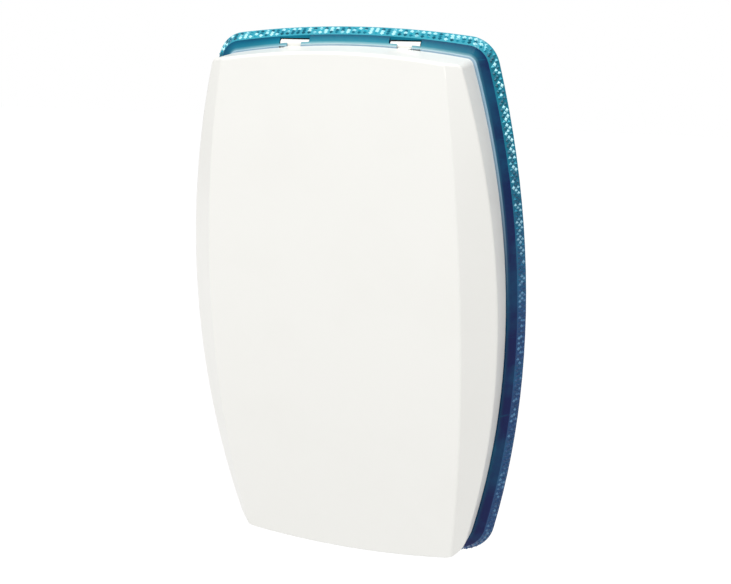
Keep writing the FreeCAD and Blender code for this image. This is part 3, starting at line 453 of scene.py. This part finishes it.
# ---------------------------------------------------------------- modelling helpers
def deselect():
    """Leaves edit mode and clears the selection."""
    if bpy.context.object and bpy.context.object.mode != "OBJECT":
        bpy.ops.object.mode_set(mode="OBJECT")
    bpy.ops.object.select_all(action="DESELECT")


def name_piece(name):
    """Names the active object and its mesh, and applies its place."""
    piece = bpy.context.object
    piece.name = name
    piece.data.name = name
    bpy.ops.object.transform_apply(location=True, rotation=True, scale=True)
    return piece


def copy_piece(template, matrix):
    """Copy of a finished piece with its own mesh, moved by a matrix."""
    twin = template.copy()
    twin.data = template.data.copy()
    twin.data.transform(matrix)
    bpy.context.collection.objects.link(twin)
    return twin


def join_pieces(pieces, name):
    """Joins pieces into one."""
    deselect()
    for piece in pieces:
        piece.select_set(True)
    bpy.context.view_layer.objects.active = pieces[0]
    bpy.ops.object.join()
    return name_piece(name)


def bevelled_box(name, low, high, width):
    """Box between two corners with rounded edges."""
    deselect()
    bpy.ops.mesh.primitive_cube_add(size=1.0, location=(Vector(low) + Vector(high)) / 2)
    bpy.context.object.scale = Vector(high) - Vector(low)
    piece = name_piece(name)
    bpy.ops.object.mode_set(mode="EDIT")
    bpy.ops.mesh.select_all(action="SELECT")
    bpy.ops.mesh.bevel(offset=width, segments=2, affect="EDGES")
    bpy.ops.object.mode_set(mode="OBJECT")
    return piece


def ring_hits(ring, depth):
    """Points and normals round the outside of the ring at one depth, one for each ray."""
    hits = []
    reach = 2 * (CAD_HIGH[2] - CAD_LOW[2])
    for step in range(RING_RAYS):
        angle = 2 * math.pi * step / RING_RAYS
        out = Vector((math.cos(angle), 0.0, math.sin(angle)))
        found, place, normal, _ = ring.ray_cast(out * reach + Vector((0, -depth, 0)), -out)
        hits.append((place, normal) if found else None)
    return hits


def even_stations(hits, pitch, lead):
    """Thins the hits to places one pitch apart, without steps into a notch; lead shifts the first."""
    stations = []
    gone = lead
    for before, here in zip(hits, hits[1:] + hits[:1]):
        if before is None or here is None:
            continue
        step = (here[0] - before[0]).length
        gone += step
        if gone >= pitch and step < pitch:
            stations.append(here)
            gone = 0.0
    return stations


def facing(place, normal):
    """Matrix that stands a piece's +Z on a surface, with its X along the ring."""
    z = normal.normalized()
    x = Vector((0, 1, 0)).cross(z).normalized()
    y = z.cross(x)
    turn = Matrix((x, y, z)).transposed().to_4x4()
    return Matrix.Translation(place) @ turn


# ---------------------------------------------------------------- operators
class SIREN_OT_cover(Operator):
    """Gives the front cover its satin white moulded finish"""
    bl_idname = "siren.cover"
    bl_label = "Front cover"

    def execute(self, context):
        settings = context.scene.siren_cover
        material = moulding("cover white", tuple(settings.shade), settings.roughness,
                            grains=1.0 / settings.texture, bump=0.10, soiled=tuple(settings.soiling),
                            amount=0.12, coat=0.15)
        finish(material, "front_cover")
        return {"FINISHED"}


def painted_top_light(tree):
    """Mask for painted light: 1 near the top, where the ring's tint is painted brighter, and 0 below the
    middle, where painted shade darkens it.
    """
    middle = centre("lens_ring").z
    height = map_range(tree, split_vector(tree, object_place(tree))["Z"], middle + PAINTED_LIGHT_STARTS,
                       middle + PAINTED_LIGHT_FULL)
    height.interpolation_type = "SMOOTHSTEP"
    return height.outputs["Result"]


def lens_material(name, settings):
    """Translucent polycarbonate: prism band at the rear, dark smooth band, and a painted highlight on the
    lip at the front; painted light and shade follow height and faces turned up.
    """
    material, tree, shader = plain_material(name)
    low, high = span("lens_ring")
    place = split_vector(tree, object_place(tree))
    depth = map_range(tree, place["Y"], high.y, low.y).outputs["Result"]
    upward = split_vector(tree, tree.nodes.new("ShaderNodeNewGeometry").outputs["Normal"])["Z"]
    # Painted light and shade by height: brighter tints near the top, darker below the middle.
    painted_light_mask = painted_top_light(tree)

    rear = math_node(tree, "LESS_THAN", depth, settings.band_depth / (high.y - low.y))
    # Painted shade: the prism band takes its darker low tint below the middle and its lit tint near the
    # top.
    band = mix_colours(tree, painted_light_mask, tuple(settings.shaded_low_tint), tuple(settings.prism_tint))
    # Painted light: the prism band is painted brighter where it faces up.
    band = mix_colours(tree, upward, band, tuple(settings.band_top_light_tint))

    front = ramp(tree, depth, [(RIM_STARTS, BLACK), (RIM_HALF, GREY), (RIM_FULL, WHITE)])
    # Ramp from the rim tint into a painted highlight on the front lip.
    rim_then_lip_highlight = ramp(tree, depth, [(LIP_STARTS, tuple(settings.rim_tint)),
                              (LIP_FULL, tuple(settings.lip_highlight_tint))])
    # Painted shade on the rim and lip below the middle.
    rim_then_lip_highlight = mix_colours(tree, painted_light_mask, tuple(settings.shaded_low_rim_tint), rim_then_lip_highlight)
    side = mix_colours(tree, front, tuple(settings.smooth_tint), rim_then_lip_highlight)

    # Painted light on the smooth band where it faces up, rising to a painted highlight at the front and
    # fading towards the corners.
    top = ramp(tree, depth, [(TOP_LIGHT_STARTS, tuple(settings.top_light_tint)), *TOP_LIGHT_STEPS])
    off_middle = math_node(tree, "ABSOLUTE", place["X"], 0.0)
    ends = map_range(tree, off_middle, ENDS_START, high.x - CORNER_MARGIN)
    ends.inputs["To Max"].default_value = ENDS_SHARE
    top = mix_colours(tree, ends.outputs["Result"], top, side)
    up_light_share = math_node(tree, "MULTIPLY", upward, UP_LIGHT_GAIN)
    up_light_share.node.use_clamp = True
    smooth = mix_colours(tree, up_light_share, side, top)

    tint = mix_colours(tree, rear, smooth, band)
    flow = use_group(tree, "Soiling", Soiled=darker(settings.prism_tint, 1.6), Amount=0.5)
    tree.links.new(tint, flow.inputs["Clean"])
    tree.links.new(flow.outputs["Colour"], shader.inputs["Base Color"])
    grain = use_group(tree, "Moulded grain", Grains_per_metre=420.0)
    vary_roughness(tree, shader, grain.outputs["Unevenness"], 0.10, 0.08)
    add_bump(tree, shader, grain.outputs["Height"], 0.12, 0.0002)
    shader.inputs["Transmission Weight"].default_value = 0.15
    shader.inputs["Specular IOR Level"].default_value = 0.06
    shader.inputs["IOR"].default_value = 1.4
    return material


class SIREN_OT_lens(Operator):
    """Tints the translucent ring, with painted light and shade, and stands rows of diamond prisms on its
    rear band
    """
    bl_idname = "siren.lens"
    bl_label = "Lens ring"

    def execute(self, context):
        settings = context.scene.siren_lens
        finish(lens_material("lens polycarbonate", settings), "lens_ring")
        prisms = self.prism_rows(settings)
        prisms.data.materials.append(prism_material(settings))
        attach(prisms, "base")
        return {"FINISHED"}

    def prism_rows(self, settings):
        """Rows of low four-sided prisms, staggered by half a pitch from row to row."""
        ring = NODES["lens_ring"]
        rear_edge = span("lens_ring")[1].y
        band_slope = Vector((settings.band_inset, settings.band_depth)).normalized()
        deselect()
        bpy.ops.mesh.primitive_cone_add(vertices=4, radius1=settings.pitch * 0.5,
                                        radius2=settings.pitch * PRISM_TIP,
                                        depth=settings.height + PRISM_SUNK,
                                        location=(0, 0, (settings.height - PRISM_SUNK) / 2))
        template = name_piece("prism")
        prisms = []
        picker = random.Random(PRISM_SEED)
        for row in range(settings.rows):
            up_slope = settings.first_row + row * settings.row_gap
            depth = -rear_edge + up_slope * band_slope.y
            lead = settings.pitch * (0.5 if row % 2 else 1.0)
            stations = even_stations(ring_hits(ring, depth), settings.pitch, lead)
            for place, normal in stations:
                prism = copy_piece(template, facing(place, normal))
                # A random share of painted glint for each prism.
                glint = prism.data.attributes.new("glint", "FLOAT", "POINT")
                glint.data.foreach_set("value", [picker.random()] * len(prism.data.vertices))
                prisms.append(prism)
        bpy.data.objects.remove(template)
        return join_pieces(prisms, "lens_prisms")


def prism_material(settings):
    """Bright polycarbonate of the prisms, with a painted glint that changes from prism to prism; painted
    light on facets that face up, painted shade on those that face down.
    """
    material, tree, shader = plain_material("prism polycarbonate")
    glint = tree.nodes.new("ShaderNodeAttribute")
    glint.attribute_name = "glint"
    upward = split_vector(tree, tree.nodes.new("ShaderNodeNewGeometry").outputs["Normal"])["Z"]
    # Painted light: facets that face up are lifted towards the glint colours, and those that face down
    # sink into painted shade.
    lift = math_node(tree, "MULTIPLY_ADD", upward, PRISM_UP_LIGHT)
    tree.links.new(glint.outputs["Fac"], lift.node.inputs[2])
    # Painted light and shade by height, as on the ring.
    painted_light_mask = painted_top_light(tree)
    painted_glints = ramp(tree, lift, [
        (0.15, darker(settings.prism_tint, 0.5)), (0.45, tuple(settings.prism_tint)),
        (0.62, (0.02, 0.42, 0.54, 1.0)), (0.80, tuple(settings.glint_tint)),
    ])
    # Painted shade: calmer, darker prism colours low on the ring.
    painted_low_shade = ramp(tree, lift, [
        (0.15, darker(settings.shaded_low_tint, 0.75)), (0.60, tuple(settings.shaded_low_tint)),
        (1.0, (0.10, 0.24, 0.42, 1.0)),
    ])
    tint = mix_colours(tree, painted_light_mask, painted_low_shade, painted_glints)
    tree.links.new(tint, shader.inputs["Base Color"])
    grain = use_group(tree, "Moulded grain", Grains_per_metre=900.0)
    vary_roughness(tree, shader, grain.outputs["Unevenness"], 0.12, 0.1)
    add_bump(tree, shader, grain.outputs["Height"], 0.1, 0.0001)
    shader.inputs["Specular IOR Level"].default_value = 0.25
    shader.inputs["IOR"].default_value = 1.5
    return material


class SIREN_OT_base(Operator):
    """Finishes the back plate, its gasket, cable bush and rim seal"""
    bl_idname = "siren.base"
    bl_label = "Back plate and seals"

    def execute(self, context):
        settings = context.scene.siren_inside
        finish(moulding("base plastic", tuple(settings.base), 0.55, grains=1100.0, bump=0.4), "back_plate")
        finish(moulding("gasket foam", (0.022, 0.022, 0.024, 1.0), 0.9, grains=900.0, bump=1.0),
               "wall_gasket")
        finish(moulding("seal rubber", (0.018, 0.018, 0.020, 1.0), 0.72, grains=700.0, bump=0.5,
                        amount=0.8), "cover_seal", "cable_grommet")
        return {"FINISHED"}


class SIREN_OT_fasteners(Operator):
    """Finishes every screw, pin, strap and insert"""
    bl_idname = "siren.fasteners"
    bl_label = "Screws, pins and strap"

    def execute(self, context):
        zinc = metal("zinc plate", (0.62, 0.63, 0.62, 1.0), 0.34, tarnish=(0.36, 0.33, 0.26, 1.0))
        finish(zinc, "lens_screws", "hinge_pins", "board_screws", "sounder_screws", "battery_strap_screws",
               "battery_strap", "terminal_screws")
        finish(metal("stainless", (0.66, 0.65, 0.63, 1.0), 0.24, lines=6000.0), "cover_screw")
        finish(metal("turned brass", (0.66, 0.46, 0.18, 1.0), 0.28, lines=6000.0), "screw_insert")
        finish(metal("spring wire", (0.52, 0.52, 0.53, 1.0), 0.25),
               "cover_tamper_spring", "wall_tamper_spring")
        finish(moulding("washer nylon", (0.72, 0.71, 0.66, 1.0), 0.45), "screw_washer")
        return {"FINISHED"}


def board_material(settings):
    """Solder mask with tracks showing through, and tinned pads."""
    material, tree, shader = plain_material("solder mask")
    place = object_place(tree)
    flat = tree.nodes.new("ShaderNodeMapping")
    flat.inputs["Rotation"].default_value = (math.pi / 2, 0.0, 0.0)
    tree.links.new(place, flat.inputs["Vector"])
    tracks = tree.nodes.new("ShaderNodeTexBrick")
    tracks.inputs["Scale"].default_value = 110.0
    tracks.inputs["Mortar Size"].default_value = 0.035
    tracks.inputs["Mortar Smooth"].default_value = 0.3
    tree.links.new(flat.outputs["Vector"], tracks.inputs["Vector"])
    patches = math_node(tree, "GREATER_THAN", noise(tree, 55.0, 2.0, place), 0.5)
    mask = math_node(tree, "MULTIPLY", tracks.outputs["Fac"], patches)
    tint = mix_colours(tree, mask, tuple(settings.board), tuple(settings.copper))
    pads = tree.nodes.new("ShaderNodeTexVoronoi")
    pads.inputs["Scale"].default_value = 210.0
    tree.links.new(place, pads.inputs["Vector"])
    sparse = math_node(tree, "GREATER_THAN", noise(tree, 130.0, 1.0, place), 0.58)
    round_pad = math_node(tree, "LESS_THAN", pads.outputs["Distance"], 0.13)
    pad_mask = math_node(tree, "MULTIPLY", round_pad, sparse)
    tint = mix_colours(tree, pad_mask, tint, (0.68, 0.66, 0.60, 1.0))
    tree.links.new(tint, shader.inputs["Base Color"])
    tree.links.new(math_node(tree, "MULTIPLY", pad_mask, 0.9), shader.inputs["Metallic"])
    grain = use_group(tree, "Moulded grain", Grains_per_metre=2500.0)
    vary_roughness(tree, shader, grain.outputs["Unevenness"], 0.30, 0.15)
    add_bump(tree, shader, math_node(tree, "ADD", mask, pad_mask), 0.4, 0.00005)
    return material


class SIREN_OT_board(Operator):
    """Finishes the circuit board and what is soldered on it, and adds its chip resistors"""
    bl_idname = "siren.board"
    bl_label = "Circuit board"

    def execute(self, context):
        settings = context.scene.siren_inside
        finish(board_material(settings), "circuit_board", "led_strips")
        finish(moulding("terminal nylon", (0.012, 0.16, 0.045, 1.0), 0.42), "terminal_block")
        finish(moulding("chip epoxy", (0.014, 0.014, 0.015, 1.0), 0.5, grains=3000.0), "driver_chips")
        can_top = span("capacitors")[0].y + 0.4 * MM
        finish(split_by_axis("capacitor can", "Y", can_top, (0.60, 0.61, 0.62, 1.0),
                             (0.012, 0.014, 0.03, 1.0), 0.35), "capacitors")
        core = centre("sounder_transformer")
        finish(split_by_axis("transformer core", "Y", core.y - 5.2 * MM, (0.055, 0.052, 0.05, 1.0),
                             (0.42, 0.30, 0.08, 1.0), 0.4), "sounder_transformer")
        finish(moulding("plug nylon", (0.74, 0.71, 0.60, 1.0), 0.4), "battery_plug", "sounder_plug")
        finish(self.lamp("blue lamp", (0.10, 0.30, 0.95, 1.0), 0.7), "comfort_leds")
        finish(self.lamp("strobe lamp", (0.85, 0.74, 0.28, 1.0), 0.15), "strobe_leds")
        finish(moulding("switch red", (0.42, 0.018, 0.012, 1.0), 0.4), "dip_switch_body")
        finish(moulding("slider white", (0.80, 0.80, 0.77, 1.0), 0.4),
               "dip_slider_1", "dip_slider_2", "dip_slider_3", "dip_slider_4")
        self.chip_resistors(settings.small_parts)
        return {"FINISHED"}

    def lamp(self, name, colour, clear):
        """Cast epoxy of a lamp, partly clear."""
        material = moulding(name, colour, 0.12, grains=900.0, bump=0.05, coat=0.6)
        material.node_tree.nodes["Principled BSDF"].inputs["Transmission Weight"].default_value = clear
        return material

    def chip_resistors(self, count):
        """Small two-ended parts in neat columns on free stretches of the board."""
        face = span("circuit_board")[0].y
        half = Vector(RESISTOR_HALF) * MM
        body = bevelled_box("resistor", -half, half, 0.12 * MM)
        cap = Vector(CAP_HALF) * MM
        middle = Vector((-CAP_REACH, 0, 0))
        left = bevelled_box("cap", middle - cap, middle + cap, 0.1 * MM)
        ends = [left, copy_piece(left, Matrix.Translation((2 * CAP_REACH, 0, 0)))]
        picker = random.Random(RESISTOR_SEED)
        bodies, caps = [], []
        for index in range(count):
            x, z = RESISTOR_COLUMNS[index % len(RESISTOR_COLUMNS)]
            step = index // len(RESISTOR_COLUMNS)
            x += (step % COLUMN_WIDTH) * COLUMN_STEP_X
            z += (step // COLUMN_WIDTH) * COLUMN_STEP_Z
            turn = Matrix.Rotation(math.pi / 2 * picker.randint(0, 1), 4, "Y")
            place = Matrix.Translation((x * MM, face - half.y, z * MM)) @ turn
            bodies.append(copy_piece(body, place))
            caps += [copy_piece(end, place) for end in ends]
        for spare in [body] + ends:
            bpy.data.objects.remove(spare)
        resistors = join_pieces(bodies, "chip_resistors")
        terminals = join_pieces(caps, "chip_resistor_ends")
        finish(moulding("resistor body", (0.02, 0.02, 0.024, 1.0), 0.35, grains=4000.0), resistors)
        finish(metal("solder", (0.70, 0.69, 0.66, 1.0), 0.3), terminals)
        for piece, slot in ((resistors, "chip"), (terminals, "steel")):
            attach(piece, "base")


class SIREN_OT_switches(Operator):
    """Finishes the two tamper switches"""
    bl_idname = "siren.switches"
    bl_label = "Tamper switches"

    def execute(self, context):
        settings = context.scene.siren_inside
        finish(moulding("switch housing", (0.022, 0.022, 0.024, 1.0), 0.42), "cover_tamper_switch",
               "wall_tamper_housing")
        finish(moulding("plunger acetal", tuple(settings.plunger), 0.32), "cover_tamper_plunger",
               "wall_tamper_plunger")
        for joint in frame["record"]["behaviour"]["joints"]:
            for spring in joint.get("deforming_nodes", []):
                self.shorten(spring, joint)
        return {"FINISHED"}

    def shorten(self, spring, joint):
        """Gives a spring's node its own mesh."""
        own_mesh(NODES[spring["node"]])


class SIREN_OT_sounder(Operator):
    """Finishes the sounder: cup, diaphragm and horn"""
    bl_idname = "siren.sounder"
    bl_label = "Sounder"

    def execute(self, context):
        finish(moulding("sounder plastic", (0.020, 0.020, 0.022, 1.0), 0.5, grains=1000.0, bump=0.35),
               "sounder_housing")
        finish(moulding("horn plastic", (0.03, 0.03, 0.033, 1.0), 0.38, grains=1400.0, bump=0.2, coat=0.2),
               "sounder_horn")
        finish(metal("diaphragm brass", (0.68, 0.50, 0.22, 1.0), 0.3), "piezo_disc")
        return {"FINISHED"}


class SIREN_OT_battery(Operator):
    """Finishes the battery pack and both pairs of leads"""
    bl_idname = "siren.battery"
    bl_label = "Battery and leads"

    def execute(self, context):
        settings = context.scene.siren_inside
        finish(metal("cell can", (0.62, 0.62, 0.62, 1.0), 0.3), "battery_cells")
        finish(moulding("shrink film", tuple(settings.sleeve), 0.22, grains=260.0, bump=0.5, coat=0.4),
               "battery_sleeve")
        black, red = (0.015, 0.015, 0.016, 1.0), (0.45, 0.012, 0.012, 1.0)
        for node in ("battery_leads", "sounder_leads"):
            finish(split_by_axis(node + " insulation", "X", centre(node).x, black, red, 0.42), node)
        return {"FINISHED"}


class SIREN_OT_level(Operator):
    """Finishes the spirit level's vial and bubble"""
    bl_idname = "siren.level"
    bl_label = "Spirit level"

    def execute(self, context):
        finish(self.clear("vial acrylic", (0.62, 0.85, 0.25, 1.0), 0.05), "level_vial")
        finish(self.clear("bubble", (0.95, 1.0, 0.85, 1.0), 0.02), "level_bubble")
        return {"FINISHED"}

    def clear(self, name, colour, roughness):
        """Clear tinted acrylic."""
        material = moulding(name, colour, roughness, grains=500.0, bump=0.03, amount=0.1)
        shader = material.node_tree.nodes["Principled BSDF"]
        shader.inputs["Transmission Weight"].default_value = 0.9
        shader.inputs["IOR"].default_value = 1.49
        return material


class SIREN_OT_stage(Operator):
    """Sets up the pale floor, the soft lights and the camera"""
    bl_idname = "siren.stage"
    bl_label = "Stage"

    def execute(self, context):
        settings = context.scene.siren_stage
        self.floor(settings)
        self.surroundings(context, settings)
        self.soft_lights(settings)
        self.camera(context, settings)
        return {"FINISHED"}

    def floor(self, settings):
        """Large pale floor below the siren."""
        deselect()
        drop = Vector((0, 0, CAD_LOW[2] - settings.floor_drop))
        bpy.ops.mesh.primitive_plane_add(size=FLOOR_SIZE, location=drop)
        floor = name_piece("stage_floor")
        finish(moulding("floor", tuple(settings.floor_shade), 0.85, grains=200.0, bump=0.02,
                        amount=0.0), floor)

    def surroundings(self, context, settings):
        """Even white surroundings."""
        world = bpy.data.worlds.new("studio white")
        world.use_nodes = True
        tree = world.node_tree
        tree.nodes["Background"].inputs["Strength"].default_value = settings.world
        tree.nodes["Background"].inputs["Color"].default_value = WHITE
        backdrop = tree.nodes.new("ShaderNodeBackground")
        backdrop.inputs["Color"].default_value = WHITE
        choice = tree.nodes.new("ShaderNodeMixShader")
        path = tree.nodes.new("ShaderNodeLightPath")
        tree.links.new(path.outputs["Is Camera Ray"], choice.inputs["Fac"])
        tree.links.new(tree.nodes["Background"].outputs[0], choice.inputs[1])
        tree.links.new(backdrop.outputs[0], choice.inputs[2])
        tree.links.new(choice.outputs[0], tree.nodes["World Output"].inputs["Surface"])
        context.scene.world = world
        context.scene.view_settings.view_transform = "Standard"

    def soft_lights(self, settings):
        """Broad light from above and in front, a key in front, and a light over the ring."""
        sky = bpy.data.lights.new("sky", "SUN")
        sky.energy = settings.sky
        sky.angle = math.radians(SKY_SPREAD)
        self.aim("sky", sky, SKY_FROM)
        for name, place, size, share in AREA_LIGHTS:
            light = bpy.data.lights.new(name, "AREA")
            light.size = size
            light.energy = settings.key * share
            self.aim(name, light, place).location = place

    def aim(self, name, light, place):
        """Puts a light in the scene, turned to shine from a place towards the siren."""
        lamp = bpy.data.objects.new(name, light)
        lamp.rotation_euler = Vector(place).to_track_quat("Z", "Y").to_euler()
        bpy.context.collection.objects.link(lamp)
        return lamp

    def camera(self, context, settings):
        """Camera a little to the right of the siren and above it."""
        lens = bpy.data.cameras.new("camera")
        lens.lens = settings.lens
        lens.sensor_width = FILM_WIDTH
        lens.shift_x, lens.shift_y = FILM_SHIFT
        turn, lift, roll = settings.azimuth, settings.elevation, settings.roll
        back = Vector((math.sin(turn) * math.cos(lift), -math.cos(turn) * math.cos(lift),
                       math.sin(lift)))
        level = Vector((math.cos(turn), math.sin(turn), 0.0))
        upward = back.cross(level)
        right = level * math.cos(roll) - upward * math.sin(roll)
        upward = level * math.sin(roll) + upward * math.cos(roll)
        target = Vector((0.0, span("lens_ring")[1].y, 0.0))
        camera = bpy.data.objects.new("camera", lens)
        camera.matrix_world = (Matrix.Translation(target + back * settings.distance)
                               @ Matrix((right, upward, back)).transposed().to_4x4())
        context.collection.objects.link(camera)
        context.scene.camera = camera


# ---------------------------------------------------------------- panel and registration
OPERATORS = (SIREN_OT_stage, SIREN_OT_cover, SIREN_OT_lens, SIREN_OT_base, SIREN_OT_fasteners,
             SIREN_OT_board, SIREN_OT_switches, SIREN_OT_sounder, SIREN_OT_battery, SIREN_OT_level)
SETTINGS = (("siren_cover", SirenCoverSettings), ("siren_lens", SirenLensSettings),
            ("siren_inside", SirenInsideSettings), ("siren_stage", SirenStageSettings))


class SIREN_PT_panel(Panel):
    """Lists the siren's settings and the steps that use them"""
    bl_idname = "SIREN_PT_panel"
    bl_label = "Alarm Siren"
    bl_space_type = "VIEW_3D"
    bl_region_type = "UI"
    bl_category = "Siren"

    def draw(self, context):
        for name, settings in SETTINGS:
            group = getattr(context.scene, name)
            box = self.layout.box()
            for key in settings.__annotations__:
                box.prop(group, key)
        for operator in OPERATORS:
            self.layout.operator(operator.bl_idname)


CLASSES = tuple(settings for _, settings in SETTINGS) + OPERATORS + (SIREN_PT_panel,)


def register():
    """Registers the classes and hangs the settings on the scene."""
    for item in CLASSES:
        bpy.utils.register_class(item)
    for name, settings in SETTINGS:
        setattr(bpy.types.Scene, name, PointerProperty(type=settings))


def unregister():
    """Takes everything off again."""
    for name, _ in SETTINGS:
        delattr(bpy.types.Scene, name)
    for item in reversed(CLASSES):
        bpy.utils.unregister_class(item)


def main():
    """Builds the finished siren and its stage."""
    register()
    moulded_grain_group()
    soiling_group()
    brushed_group()
    bpy.ops.siren.stage()
    bpy.ops.siren.cover()
    bpy.ops.siren.lens()
    bpy.ops.siren.base()
    bpy.ops.siren.fasteners()
    bpy.ops.siren.board()
    bpy.ops.siren.switches()
    bpy.ops.siren.sounder()
    bpy.ops.siren.battery()
    bpy.ops.siren.level()


if __name__ == "__main__":
    main()
